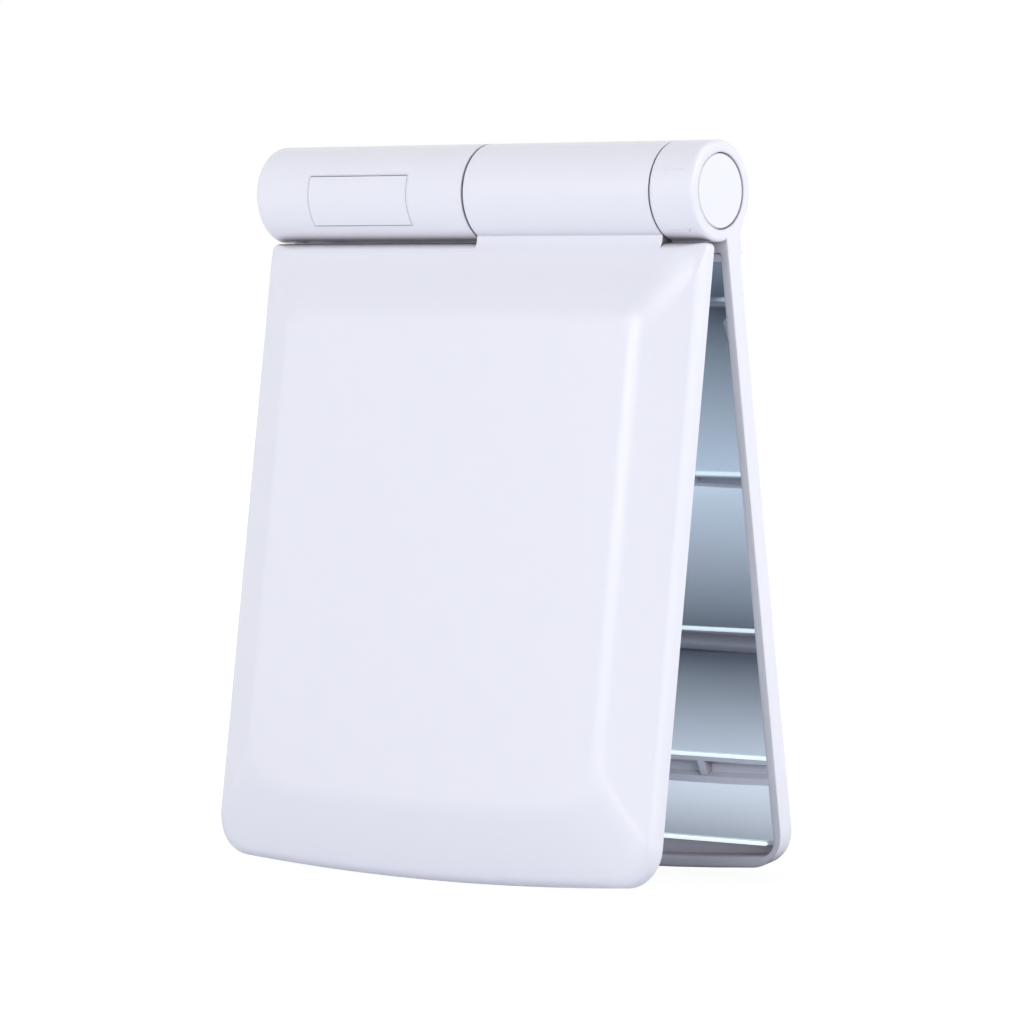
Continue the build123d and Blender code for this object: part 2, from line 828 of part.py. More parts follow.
def stand_up():
    """Open the two leaves and stand them on the floor, with the origin under the middle."""
    placed = {}
    for name, piece in rear_pieces.items():
        placed[name] = Rot(X=lean) * gather(piece)
    for name, piece in front_pieces.items():
        placed[name] = Rot(X=-lean) * mirror(gather(piece), about=Plane.XZ)
    back = placed["rear_shell"].bounding_box().max.Y
    front = placed["front_cover"].bounding_box().min.Y
    to_floor = Pos(0, -(back + front) / 2, hinge_height)
    return {name: to_floor * shape for name, shape in placed.items()}


parts = stand_up()
os.makedirs("parts", exist_ok=True)
for name, shape in parts.items():
    shape.label = name
    export_step(shape, f"parts/{name}.step")
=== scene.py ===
import json
from math import atan, atan2, cos, pi, radians, sin, sqrt, tan

import bmesh
import bpy
from bpy.props import FloatProperty, FloatVectorProperty, IntProperty, PointerProperty
from mathutils import Matrix, Vector


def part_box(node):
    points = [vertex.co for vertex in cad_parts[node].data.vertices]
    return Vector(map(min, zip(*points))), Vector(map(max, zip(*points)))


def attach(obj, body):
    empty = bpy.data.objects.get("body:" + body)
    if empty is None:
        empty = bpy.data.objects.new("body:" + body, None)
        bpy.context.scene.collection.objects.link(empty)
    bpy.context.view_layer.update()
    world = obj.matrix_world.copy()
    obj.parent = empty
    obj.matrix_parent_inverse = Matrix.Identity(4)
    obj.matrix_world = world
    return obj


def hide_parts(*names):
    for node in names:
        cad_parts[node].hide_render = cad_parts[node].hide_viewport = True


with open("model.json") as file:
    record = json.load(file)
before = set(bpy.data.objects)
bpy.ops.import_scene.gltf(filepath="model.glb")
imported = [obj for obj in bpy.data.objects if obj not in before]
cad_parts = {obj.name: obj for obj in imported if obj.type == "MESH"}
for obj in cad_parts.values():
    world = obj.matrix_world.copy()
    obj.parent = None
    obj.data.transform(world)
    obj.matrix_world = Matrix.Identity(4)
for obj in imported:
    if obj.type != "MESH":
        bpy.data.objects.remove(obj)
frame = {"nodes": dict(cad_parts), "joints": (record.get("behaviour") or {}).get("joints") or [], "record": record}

bl_info = {
    "name": "Lighted compact mirror",
    "version": (1, 0, 0),
    "blender": (4, 5, 0),
    "location": "View3D > Sidebar > Mirror",
    "description": "Dresses a folding mirror with lamps: its domed cover, silvered panes, lamp windows and studio",
    "category": "Object",
}

MM = 0.001
FRONT, REAR = -1, 1
WELD = 0.002 * MM
CORNER_STEPS = 10
BOW_STEPS = 24
EDGE_STEPS = 3
RIM_STEPS = 12
BORDER_STEPS = 5
CREASE_STEPS = 14
WINDOW_CORNER_STEPS = 8
STROKE_POINTS = 14
STROKE_SIDES = 12
WHITE = (1.0, 1.0, 1.0, 1.0)
BLACK = (0.0, 0.0, 0.0, 1.0)
# Soft boxes: name, direction from the mirror, distance, width and height in metres, power in watts
LAMPS = (
    ("crease_box", (-0.236, -0.947, 0.4), 0.97, 0.4, 0.4, 1.75),
    ("front_box", (-0.236, -0.947, 0.22), 0.95, 0.75, 0.6, 1.7),
    ("low_box", (0.2, -0.97, 0.02), 1.1, 0.8, 0.12, 0.95),
    ("right_box", (0.8, 0.42, 0.35), 1.2, 0.6, 0.5, 5.9),
    ("side_box", (0.93, -0.3, 0.2), 1.2, 1.3, 0.5, 3.2),
    ("left_box", (-0.9, -0.42, 0.1), 1.3, 0.6, 0.5, 0.5),
    ("top_box", (0.0, 0.1, 1.0), 1.2, 0.6, 0.4, 2.6),
)
HINGE = next(joint for joint in frame["joints"] if joint["name"] == "leaf_hinge")
AXIS = Vector(HINGE["pos_m"])
LEAN = radians(-HINGE["range_deg"][0]) / 2


def leaf_matrix(side):
    """From a leaf's own frame, which is (along the barrel, depth behind the hinge plane, height), to the world."""
    turn = Matrix((
        (1, 0, 0),
        (0, side * cos(LEAN), -side * sin(LEAN)),
        (0, sin(LEAN), cos(LEAN)),
    ))
    return Matrix.Translation(AXIS) @ turn.to_4x4()


def leaf_box(node, side):
    """Lowest and highest corner of a node in its leaf's own frame."""
    inverse = leaf_matrix(side).inverted()
    corners = [inverse @ vertex.co for vertex in frame["nodes"][node].data.vertices]
    low = Vector(min(corner[axis] for corner in corners) for axis in range(3))
    high = Vector(max(corner[axis] for corner in corners) for axis in range(3))
    return low, high


COVER_LOW, COVER_HIGH = leaf_box("front_cover", FRONT)
HALF_WIDTH = COVER_HIGH.x
BARREL_RADIUS = COVER_HIGH.y
LEAF_BOTTOM = -COVER_LOW.z


def barrel_span(node):
    """Where a node's part of the barrel starts and ends."""
    least = AXIS.z + BARREL_RADIUS / 2
    across = [vertex.co.x for vertex in frame["nodes"][node].data.vertices if vertex.co.z > least]
    return min(across), max(across)


SEAM_LEFT, SEAM_RIGHT = barrel_span("front_cover")


def length(name, text, default):
    return FloatProperty(name=name, description=text, default=default * MM, unit="LENGTH", subtype="DISTANCE",
                         precision=5)


def share(name, text, default):
    return FloatProperty(name=name, description=text, default=default, precision=3)


def tilt(name, text, degrees):
    return FloatProperty(name=name, description=text, default=radians(degrees), subtype="ANGLE")


def colour(name, text, default):
    return FloatVectorProperty(name=name, description=text, default=default, size=3, subtype="COLOR",
                               min=0.0, max=1.0)


class CoverSizes(bpy.types.PropertyGroup):
    """Sizes of the front leaf's domed cover."""
    leaf_gap: length("Leaf gap", "From the barrel to the top edge of the leaf", 0.32)
    rim_face: length("Rim face", "From the hinge plane to the rim", 0.35)
    side_wall: length("Side wall", "Depth at which the border starts to slope", 3.0)
    panel: length("Panel", "Depth of the flat panel", 7.0)
    side_bevel: length("Side border", "Width of the sloping border at the sides", 9.2)
    top_bevel: length("Top border", "Width of the sloping border at the top", 12.4)
    bottom_bevel: length("Bottom border", "Width of the sloping border at the bottom", 11.6)
    rim_round: length("Rim rounding", "Radius from the side wall into the border", 2.4)
    crease_round: length("Crease rounding", "Radius from the border into the panel", 8.0)
    wall: length("Wall", "Thickness of the moulded wall", 1.4)
    tube_wall: length("Tube wall", "Wall of the middle barrel tube", 1.6)
    tube_edge: length("Tube edge", "Rounding of the middle tube's ends", 0.18)
    top_corner: length("Top corner", "Corner radius at the rim's top", 1.0)
    top_corner_border: length("Border top corner", "Corner radius half way up the top border", 5.4)
    top_corner_panel: length("Panel top corner", "Corner radius at the panel's top", 2.0)
    bottom_corner: length("Bottom corner", "Corner radius at the rim's bottom", 6.3)
    bottom_corner_panel: length("Panel bottom corner", "Corner radius at the panel's bottom", 9.0)
    bow: length("Bottom bow", "Radius of the bowed bottom edge", 510.0)
    neck_depth: length("Neck depth", "Depth of the flat neck under the tube", 3.05)
    edge: length("Inner edge", "Rounding where the rim meets the hinge plane", 0.15)


class WindowSizes(bpy.types.PropertyGroup):
    """Sizes of the windows over the lamps."""
    width: length("Width", "Width of a window", 2.4)
    length: length("Length", "Length of a window", 6.0)
    corner: length("Corner", "Radius of a window's round ends", 1.17)
    crown: length("Crown", "Height of the crowned face", 0.35)
    top: share("Top", "Size of the crown's flat top as a share of the window", 0.86)
    rows: IntProperty(name="Rows", description="Windows down each side", default=4, min=2)


class MarkSizes(bpy.types.PropertyGroup):
    """The raised arrows on the ring beside the push button."""
    length: length("Length", "Length of an arrow", 3.9)
    barb: length("Barb", "Reach of an arrow's barbs", 0.8)
    stroke: length("Stroke", "Radius of a raised stroke", 0.16)
    proud: length("Proud", "How far a stroke stands out of the ring", 0.06)
    middle: length("Middle", "Place of the marks along the barrel", 40.4)
    upper: tilt("Upper", "Turn of the upper arrow above level", 25)
    lower: tilt("Lower", "Turn of the lower arrow below level", 47)


class DoorSizes(bpy.types.PropertyGroup):
    """The battery door."""
    grow: length("Grow", "How much closer its edges come to the opening's", 0.075)


class FootSizes(bpy.types.PropertyGroup):
    """The polished foot of each pane, and its painted glow."""
    height: length("Height", "Height of the foot", 0.5)
    proud: length("Proud", "How far the foot stands out of the pane", 0.36)
    inset: length("Inset", "From the pane's side to the foot's end", 1.6)
    # The glow is painted light: the foot emits light though it is no lamp.
    glow: share("Glow", "Strength of the light that the foot gathers", 0.82)
    glow_start: length("Glow start", "Place along the barrel where the light starts", -34)
    glow_full: length("Glow full", "Place along the barrel where the light is full", -29)


class CornerShade(bpy.types.PropertyGroup):
    """Painted shade in the shells' deep corners and in the gaps beside the barrel."""
    reach: length("Reach", "How near another wall darkens a corner", 5.5)
    deep: share("Deep", "Openness of a corner that is fully shaded", 0.1)
    clear: share("Clear", "Openness of a wall without shading", 0.82)
    barrel: share("Barrel", "How far below the hinge axis the barrel's gaps reach, in barrel radii", 2.5)


class Colours(bpy.types.PropertyGroup):
    """Colours of the finishes, linear."""
    shell: colour("Shell", "Glossy moulded shells", (0.845, 0.845, 0.925))
    # The corner and gap colours are painted shade, which the shells take where other walls close in.
    corner: colour("Corners", "Shaded inner corners of the shells", (0.33, 0.265, 0.31))
    gap: colour("Gaps", "Shaded gaps beside the barrel", (0.06, 0.05, 0.06))
    button: colour("Button", "Satin push button", (0.86, 0.86, 0.90))
    inner: colour("Inner mouldings", "Plain mouldings inside", (0.70, 0.70, 0.70))
    silver: colour("Silver", "Silvered glass", (0.918, 0.95, 0.975))
    glass_edge: colour("Glass edge", "Ground edge of the glass", (0.88, 0.97, 1.0))
    lens: colour("Lens", "Frosted lamp windows", (0.84, 0.88, 0.90))
    black: colour("Black", "Black mouldings", (0.02, 0.02, 0.022))
    foam: colour("Foam", "Foam tape", (0.09, 0.09, 0.10))
    cell: colour("Cells", "Plated cans of the cells", (0.62, 0.62, 0.63))
    contact: colour("Contacts", "Nickel plated springs and strips", (0.60, 0.59, 0.55))
    screw: colour("Screws", "Zinc plated screws", (0.5, 0.5, 0.52))
    rubber: colour("Rubber", "Friction rings", (0.015, 0.015, 0.015))
    board: colour("Boards", "Solder mask", (0.78, 0.80, 0.79))
    chip: colour("Lamps", "Phosphor of the lamps", (0.85, 0.76, 0.3))
    wire: colour("Wires", "Wire covers", (0.25, 0.008, 0.006))


class Studio(bpy.types.PropertyGroup):
    """Camera and even light."""
    lens: FloatProperty(name="Lens", description="Focal length in millimetres", default=183.458)
    camera: FloatVectorProperty(name="Camera", description="Place of the camera from the hinge axis", size=3,
                                unit="LENGTH", default=(0.51785, -0.66580, -0.00814))
    yaw: tilt("Yaw", "Camera's turn to the left", 37.7235)
    pitch: tilt("Pitch", "Camera's tilt", -2.9412)
    roll: tilt("Roll", "Camera's roll", -0.2415)
    sky: share("Sky", "Strength of the even light", 0.31)
    sky_colour: colour("Sky colour", "Colour of the even light", (0.94, 0.98, 1.0))


class FloorLook(bpy.types.PropertyGroup):
    """How the pale floor runs into the white background, with painted shade on the paper between and near the
    leaves and a painted light gradient in the white that the panes see.
    """
    size: length("Size", "Half the floor's width", 6000)
    near: length("Near", "Distance at which the floor starts to fade into white", 70)
    far: length("Far", "Distance at which the floor is white", 350)
    beside_near: length("Beside, near", "Distance at which the paper beside the mirror turns lighter", 42)
    beside_far: length("Beside, far", "Distance at which the paper beside the mirror is light", 62)
    back: length("Back", "Depth at which the floor between the leaves is darkest", 16)
    front: length("Front", "Depth at which the floor between the leaves is lightest", -18)
    front_tone: share("Front tone", "Share of the light paper in front", 0.8)
    seen: share("Seen", "Share of white in the floor near the mirror", 0.85)
    mirrored: share("Mirrored", "Share of white in the floor that the panes show", 0.62)
    glow: share("Glow", "Strength of the white", 1.12)
    # The paper colour between the leaves is painted shade, darker where the leaves shade the floor.
    painted_shade_paper: colour("Dark", "Paper between the leaves", (0.30, 0.32, 0.38))
    light: colour("Light", "Paper around them", (0.84, 0.85, 0.9))
    tint: colour("Tint", "White that the panes show", (0.79, 0.87, 1.0))


class Value:
    """A socket of a node tree that adds Math nodes when it is used in a sum, difference or product."""

    def __init__(self, maker, socket):
        self.maker = maker
        self.socket = socket

    def __getitem__(self, output):
        return Value(self.maker, self.socket.node.outputs[output])

    def __add__(self, other):
        return self.maker.maths("ADD", self, other)

    def __sub__(self, other):
        return self.maker.maths("SUBTRACT", self, other)

    def __rsub__(self, other):
        return self.maker.maths("SUBTRACT", other, self)

    def __mul__(self, other):
        return self.maker.maths("MULTIPLY", self, other)

    def __truediv__(self, other):
        return self.maker.maths("DIVIDE", self, other)

    def __gt__(self, other):
        return self.maker.maths("GREATER_THAN", self, other)

    def __neg__(self):
        return 0.0 - self

    __radd__ = __add__
    __rmul__ = __mul__


class Maker:
    """Adds nodes to a tree."""

    def __init__(self, tree):
        self.tree = tree

    def node(self, kind, settings=None, sockets=None):
        """Add a node: first its settings, then the values or links of its sockets."""
        made = self.tree.nodes.new(kind)
        for key, value in (settings or {}).items():
            setattr(made, key, value)
        for key, value in (sockets or {}).items():
            for part in value if isinstance(value, list) else [value]:
                if isinstance(part, Value):
                    self.tree.links.new(part.socket, made.inputs[key])
                else:
                    made.inputs[key].default_value = part
        return Value(self, made.outputs[0]) if made.outputs else made

    def maths(self, operation, first, second=0.0):
        """The result of a Math node."""
        return self.node("ShaderNodeMath", {"operation": operation}, {0: first, 1: second})

    def split(self, vector):
        """A vector's parts, by the names X, Y and Z."""
        return self.node("ShaderNodeSeparateXYZ", None, {0: vector})

    def ramp(self, value, start, end, interpolation="LINEAR"):
        """From 0 at the start to 1 at the end."""
        return self.node("ShaderNodeMapRange", {"interpolation_type": interpolation},
                         {"Value": value, "From Min": start, "From Max": end})


class Finish(Maker):
    """A material in the making."""

    def __init__(self, name):
        self.material = bpy.data.materials.new(name)
        self.material.use_nodes = True
        super().__init__(self.material.node_tree)
        self.tree.nodes.clear()

    def place(self, **mapping):
        """Object coordinates, moved, turned or stretched."""
        coordinates = self.node("ShaderNodeTexCoord")["Object"]
        if not mapping:
            return coordinates
        sockets = {key.capitalize(): value for key, value in mapping.items()}
        return self.node("ShaderNodeMapping", None, {"Vector": coordinates, **sockets})

    def leaf_depth(self, side):
        """Depth behind the hinge plane, of one leaf at rest."""
        where = self.split(self.place(location=-AXIS))
        return side * cos(LEAN) * where["Y"] + sin(LEAN) * where["Z"]

    def noise(self, scale, detail=2.0, vector=None):
        """Cloudy values from 0 to 1, at so many clouds in a metre."""
        where = vector or self.place()
        return self.node("ShaderNodeTexNoise", None, {"Vector": where, "Scale": scale, "Detail": detail})

    def colour_mix(self, factor, first, second):
        """A colour between two colours."""
        return self.node("ShaderNodeMix", {"data_type": "RGBA"}, {0: factor, 6: first, 7: second})[2]

    def bump(self, height, distance, normal=None):
        """Normals over a relief so many metres high."""
        sockets = {"Height": height, "Distance": distance}
        if normal:
            sockets["Normal"] = normal
        return self.node("ShaderNodeBump", None, sockets)

    def close(self, shader):
        """Send a shader to the surface and give the material."""
        self.node("ShaderNodeOutputMaterial", None, {"Surface": shader})
        return self.material


def rgba(shade, factor=1.0):
    """A colour with its alpha, made darker by a factor."""
    return (*[min(part * factor, 1.0) for part in shade], 1.0)


def moulded(name, shade, roughness=0.27, spread=0.012, grain=900.0, grain_height=0.0012 * MM, coat=0.0, speck=0.994,
            edge=0.0, corners=None):
    """Moulded plastic: faint specks, a little unevenness in its gloss, a fine grain and mould-rounded edges.

    Where corners gives two colours, they are painted shade: its deep corners, found by ambient occlusion, take the
    first, and those near the barrel the second."""
    finish = Finish(name)
    tone = finish.colour_mix(finish.noise(2600.0, 3.0), rgba(shade, speck), rgba(shade))
    # Painted shade: ambient occlusion darkens the deep corners towards the corner colours.
    if corners:
        limits = bpy.context.scene.mirror_corners
        openness = finish.node("ShaderNodeAmbientOcclusion", {"samples": 6}, {"Distance": limits.reach})["AO"]
        outside = finish.ramp(openness, limits.deep, limits.clear, "SMOOTHSTEP")
        upper = finish.split(finish.place())["Z"] > AXIS.z - limits.barrel * BARREL_RADIUS
        tone = finish.colour_mix(outside, finish.colour_mix(upper, rgba(corners[0]), rgba(corners[1])), tone)
    uneven = finish.noise(700.0, 4.0)
    orange_peel = finish.noise(grain, 2.0)
    rounded = finish.node("ShaderNodeBevel", {"samples": 4}, {"Radius": edge * MM}) if edge else None
    shader = finish.node("ShaderNodeBsdfPrincipled", None, {
        "Base Color": tone,
        "Roughness": roughness + spread * (uneven - 0.5),
        "Normal": finish.bump(orange_peel, grain_height, normal=rounded),
        "IOR": 1.5,
        "Coat Weight": coat,
        "Coat Roughness": 0.06,
    })
    return finish.close(shader)


def silvered(name, node, side, tint, edge):
    """Silvered glass: a clean tinted reflection, with plain ground edges behind its face."""
    finish = Finish(name)
    smear = finish.noise(60.0, 4.0)
    ground = finish.noise(1800.0, 3.0)
    rim = finish.leaf_depth(side) > leaf_box(node, side)[0].y + 0.02 * MM
    shader = finish.node("ShaderNodeBsdfPrincipled", None, {
        "Base Color": finish.colour_mix(rim, finish.colour_mix(smear, rgba(tint, 0.985), rgba(tint)),
                                        finish.colour_mix(ground, rgba(edge, 0.8), rgba(edge, 0.9))),
        "Metallic": 1.0 - rim,
        "Roughness": 0.012 + 0.006 * smear + 0.4 * rim,
    })
    return finish.close(shader)


def polished(name, edge, foot):
    """The polished foot of a pane, with a painted glow that fades out towards the pane's left end."""
    finish = Finish(name)
    ground = finish.noise(1800.0, 3.0)
    # Painted light: an emission over the foot, fading out from glow_full to glow_start.
    lit = finish.ramp(finish.split(finish.place())["X"], foot.glow_start, foot.glow_full)
    shader = finish.node("ShaderNodeBsdfPrincipled", None, {
        "Base Color": finish.colour_mix(ground, rgba(edge, 0.5), rgba(edge, 0.55)),
        "Roughness": 0.12 + 0.1 * ground,
        "Emission Color": finish.colour_mix(lit, BLACK, finish.colour_mix(ground, rgba(edge, 0.94), rgba(edge))),
        "Emission Strength": foot.glow,
    })
    return finish.close(shader)


def metal(name, shade, roughness, stretch):
    """Drawn or plated metal with fine lines one way."""
    finish = Finish(name)
    lines = finish.noise(1200.0, 3.0, finish.place(scale=stretch))
    shader = finish.node("ShaderNodeBsdfPrincipled", None, {
        "Base Color": finish.colour_mix(lines, rgba(shade, 0.85), rgba(shade)),
        "Metallic": 1.0,
        "Roughness": roughness + 0.15 * (lines - 0.5),
        "Normal": finish.bump(lines, 0.01 * MM),
    })
    return finish.close(shader)


def frosted(name, shade):
    """Frosted clear plastic."""
    finish = Finish(name)
    frost = finish.noise(2500.0, 3.0)
    shader = finish.node("ShaderNodeBsdfPrincipled", None, {
        "Base Color": finish.colour_mix(frost, rgba(shade, 0.96), rgba(shade)),
        "Roughness": 0.32 + 0.1 * (frost - 0.5),
        "Normal": finish.bump(frost, 0.01 * MM),
        "IOR": 1.49,
        "Transmission Weight": 0.45,
    })
    return finish.close(shader)


def make_finishes():
    """A material for every slot that the record names, and for the nodes and pieces with one of their own."""
    shades = bpy.context.scene.mirror_colours
    foot = bpy.context.scene.mirror_feet
    # Painted shade for the corners: the white shells darken only in the gaps by the barrel, the frame and rear
    # shell in all deep corners.
    barrel_gap_painted_shade = (shades.shell, shades.gap)
    corner_painted_shade = (shades.corner, shades.corner)
    return {
        "white_plastic": moulded("white_plastic", shades.shell, coat=0.05, corners=barrel_gap_painted_shade),
        "front_frame": moulded("frame_plastic", shades.shell, corners=corner_painted_shade),
        "rear_shell": moulded("rear_shell_plastic", shades.shell, coat=0.05, edge=0.7, corners=corner_painted_shade),
        "button_plastic": moulded("button_plastic", shades.button, 0.36, 0.08, 3500.0, 0.004 * MM),
        "inner_plastic": moulded("inner_plastic", shades.inner, 0.5, 0.1, 2500.0, 0.01 * MM),
        "black_plastic": moulded("black_plastic", shades.black, 0.45, 0.1, 3000.0, 0.01 * MM, speck=0.7),
        "rear_mirror": silvered("rear_glass", "rear_mirror", REAR, shades.silver, shades.glass_edge),
        "lit_mirror": silvered("lit_glass", "lit_mirror", FRONT, shades.silver, shades.glass_edge),
        "pane_foot": polished("pane_foot", shades.glass_edge, foot),
        "foam_tape": moulded("foam_tape", shades.foam, 0.85, 0.1, 2500.0, 0.04 * MM, speck=0.7),
        "cell_steel": metal("cell_steel", shades.cell, 0.28, (0.05, 1.0, 1.0)),
        "contact_steel": metal("contact_steel", shades.contact, 0.3, (0.05, 1.0, 1.0)),
        "screw_steel": metal("screw_steel", shades.screw, 0.35, (1.0, 1.0, 0.1)),
        "rubber_ring": moulded("rubber_ring", shades.rubber, 0.75, 0.1, 4000.0, 0.01 * MM, speck=0.6),
        "circuit_board": moulded("circuit_board", shades.board, 0.4, 0.08, 1500.0, 0.005 * MM, speck=0.93),
        "lamp_chip": moulded("lamp_chip", shades.chip, 0.4, 0.1, 2500.0, 0.01 * MM, speck=0.85),
        "lens_plastic": frosted("lens_plastic", shades.lens),
        "wire_cover": moulded("wire_cover", shades.wire, 0.4, 0.1, 900.0, 0.005 * MM, speck=0.8),
    }


def slope(sizes, bevel):
    """Angle between a sloping border and the flat panel."""
    return atan((sizes.panel - sizes.side_wall) / bevel)


def border_inset(sizes, depth, bevel):
    """How far inside the leaf's edge the outer surface lies at one depth."""
    angle = slope(sizes, bevel)
    rim_run = sizes.rim_round * tan((pi / 2 - angle) / 2)
    crease_run = sizes.crease_round * tan(angle / 2)
    rim_start = sizes.side_wall - rim_run
    if depth <= rim_start:
        return 0.0
    if depth < sizes.side_wall + rim_run * sin(angle):
        return sizes.rim_round - sqrt(sizes.rim_round ** 2 - (depth - rim_start) ** 2)
    if depth <= sizes.panel - crease_run * sin(angle):
        return (depth - sizes.side_wall) / tan(angle)
    reach = depth - sizes.panel + sizes.crease_round
    return bevel + crease_run - sqrt(max(sizes.crease_round ** 2 - reach ** 2, 0.0))


def arc(centre, radius, start, end, steps):
    """Points on an arc, both ends included, as (across, drop)."""
    turns = [start + (end - start) * step / steps for step in range(steps + 1)]
    return [(centre[0] + radius * cos(turn), centre[1] + radius * sin(turn)) for turn in turns]


def leaf_ring(sizes, depth, side, top, bottom, top_radius, bottom_radius):
    """The leaf's outline at one depth, moved in from each edge, from its top right corner round to the left one."""
    half = HALF_WIDTH - side
    upper = BARREL_RADIUS + sizes.leaf_gap + top
    lower = LEAF_BOTTOM - bottom
    bow = sizes.bow - bottom
    bow_centre = lower - bow
    across = half - bottom_radius
    corner = bow_centre + sqrt((bow - bottom_radius) ** 2 - across ** 2)
    end = atan2(corner - bow_centre, across)
    right = arc((half - top_radius, upper + top_radius), top_radius, -pi / 2, 0.0, CORNER_STEPS)
    right += arc((across, corner), bottom_radius, 0.0, end, CORNER_STEPS)
    foot = arc((0.0, bow_centre), bow, end, pi - end, BOW_STEPS)[1:-1]
    left = [(-x, drop) for x, drop in reversed(right)]
    return [Vector((x, depth, -drop)) for x, drop in right + foot + left]


def border_depths(sizes):
    """Depths of the outlines from the rim's rounding over the sloping border and the crease to the panel."""
    angle = slope(sizes, sizes.side_bevel)
    rim_start = sizes.side_wall - sizes.rim_round * tan((pi / 2 - angle) / 2)
    rim = [rim_start + sizes.rim_round * sin((pi / 2 - angle) * step / RIM_STEPS) for step in range(RIM_STEPS + 1)]
    crease_turns = [angle * (1 - step / CREASE_STEPS) for step in range(CREASE_STEPS + 1)]
    crease = [sizes.panel - sizes.crease_round * (1 - cos(turn)) for turn in crease_turns]
    run = crease[0] - rim[-1]
    return rim + [rim[-1] + run * step / BORDER_STEPS for step in range(1, BORDER_STEPS)] + crease


def cover_rings(sizes):
    """Outlines of the cover from the middle of its inside, over the rim and round to the panel."""
    bevels = (sizes.side_bevel, sizes.top_bevel, sizes.bottom_bevel)
    angles = [slope(sizes, bevel) for bevel in bevels]
    wall = sizes.wall
    knee = min(sizes.side_wall + wall * tan(angle) - wall / cos(angle) for angle in angles)
    floor = sizes.panel - wall
    insets = [(floor + wall / cos(angle) - sizes.side_wall) / tan(angle) for angle in angles]
    inner_corner = sizes.bottom_corner - wall
    half_corner = sizes.top_corner / 2
    rings = [
        leaf_ring(sizes, floor, *insets, half_corner, inner_corner / 2),
        leaf_ring(sizes, knee, wall, wall, wall, half_corner, inner_corner),
        leaf_ring(sizes, sizes.rim_face, wall, wall, wall, half_corner, inner_corner),
    ]
    for step in range(EDGE_STEPS + 1):
        turn = pi / 2 * step / EDGE_STEPS
        inset = sizes.edge * (1 - sin(turn))
        rings.append(leaf_ring(sizes, sizes.rim_face + sizes.edge * (1 - cos(turn)), inset, inset, inset,
                               sizes.top_corner, sizes.bottom_corner))
    depths = border_depths(sizes)
    # The corners change their radius from a third of the way round the rim up to the panel
    start = depths[RIM_STEPS // 3]
    for depth in depths:
        insets = [border_inset(sizes, depth, bevel) for bevel in bevels]
        rise = min(max((depth - start) / (sizes.panel - start), 0.0), 1.0)
        top_radius = sizes.top_corner + (sizes.top_corner_panel - sizes.top_corner) * rise
        top_radius += (sizes.top_corner_border - top_radius) * 4 * rise * (1 - rise)
        bottom_radius = sizes.bottom_corner + (sizes.bottom_corner_panel - sizes.bottom_corner) * rise
        rings.append(leaf_ring(sizes, depth, *insets, top_radius, bottom_radius))
    return rings


def loft(rings):
    """A closed mesh through outlines with as many points each, with a face over the first and last."""
    made = bmesh.new()
    rows = [[made.verts.new(point) for point in ring] for ring in rings]
    for one, other in zip(rows, rows[1:]):
        for index in range(len(one)):
            follow = (index + 1) % len(one)
            made.faces.new((one[index], one[follow], other[follow], other[index]))
    made.faces.new(rows[0])
    made.faces.new(rows[-1])
    bmesh.ops.recalc_face_normals(made, faces=made.faces)
    return made


def to_object(made, name, matrix=None):
    """Turn a bmesh into an object at the origin, its place in its mesh."""
    if matrix is not None:
        bmesh.ops.transform(made, matrix=matrix, verts=made.verts)
        bmesh.ops.recalc_face_normals(made, faces=made.faces)
    mesh = bpy.data.meshes.new(name)
    made.to_mesh(mesh)
    made.free()
    piece = bpy.data.objects.new(name, mesh)
    bpy.context.scene.collection.objects.link(piece)
    return piece


def settle(piece):
    """Apply a piece's modifiers to its mesh."""
    bpy.context.view_layer.update()
    graph = bpy.context.evaluated_depsgraph_get()
    mesh = bpy.data.meshes.new_from_object(piece.evaluated_get(graph))
    piece.modifiers.clear()
    piece.data = mesh
    return piece


def join_solid(piece, other):
    """Add another closed object to a piece."""
    change = piece.modifiers.new("join", "BOOLEAN")
    change.operation = "UNION"
    change.solver = "EXACT"
    change.object = other
    settle(piece)
    bpy.data.objects.remove(other)
    return piece


def smooth(piece, angle=radians(28)):
    """Smooth shading with sharp edges, weighted towards the large faces."""
    made = bmesh.new()
    made.from_mesh(piece.data)
    bmesh.ops.remove_doubles(made, verts=made.verts, dist=WELD)
    bmesh.ops.dissolve_degenerate(made, edges=made.edges, dist=WELD)
    for face in made.faces:
        face.smooth = True
    for edge in made.edges:
        edge.smooth = edge.is_manifold and edge.calc_face_angle(0.0) < angle
    made.to_mesh(piece.data)
    made.free()
    weigh = piece.modifiers.new("weigh", "WEIGHTED_NORMAL")
    weigh.keep_sharp = True
    weigh.weight = 80
    return settle(piece)


def tube(x0, x1, outer, inner, edge, segments=160):
    """A tube along the hinge axis with slightly rounded outer ends."""
    profile = [(x0, inner), (x0, outer - edge)]
    profile += [(x0 + edge * (1 - cos(turn)), outer - edge * (1 - sin(turn))) for turn in (pi / 6, pi / 3)]
    profile += [(x0 + edge, outer), (x1 - edge, outer)]
    profile += [(x1 - edge * (1 - sin(turn)), outer - edge * (1 - cos(turn))) for turn in (pi / 6, pi / 3)]
    profile += [(x1, outer - edge), (x1, inner)]
    made = bmesh.new()
    rows = []
    for step in range(segments):
        turn = 2 * pi * step / segments
        rows.append([made.verts.new((x, radius * cos(turn), radius * sin(turn))) for x, radius in profile])
    for step, row in enumerate(rows):
        follow = rows[(step + 1) % segments]
        for index in range(len(profile)):
            after = (index + 1) % len(profile)
            made.faces.new((row[index], row[after], follow[after], follow[index]))
    bmesh.ops.recalc_face_normals(made, faces=made.faces)
    return made


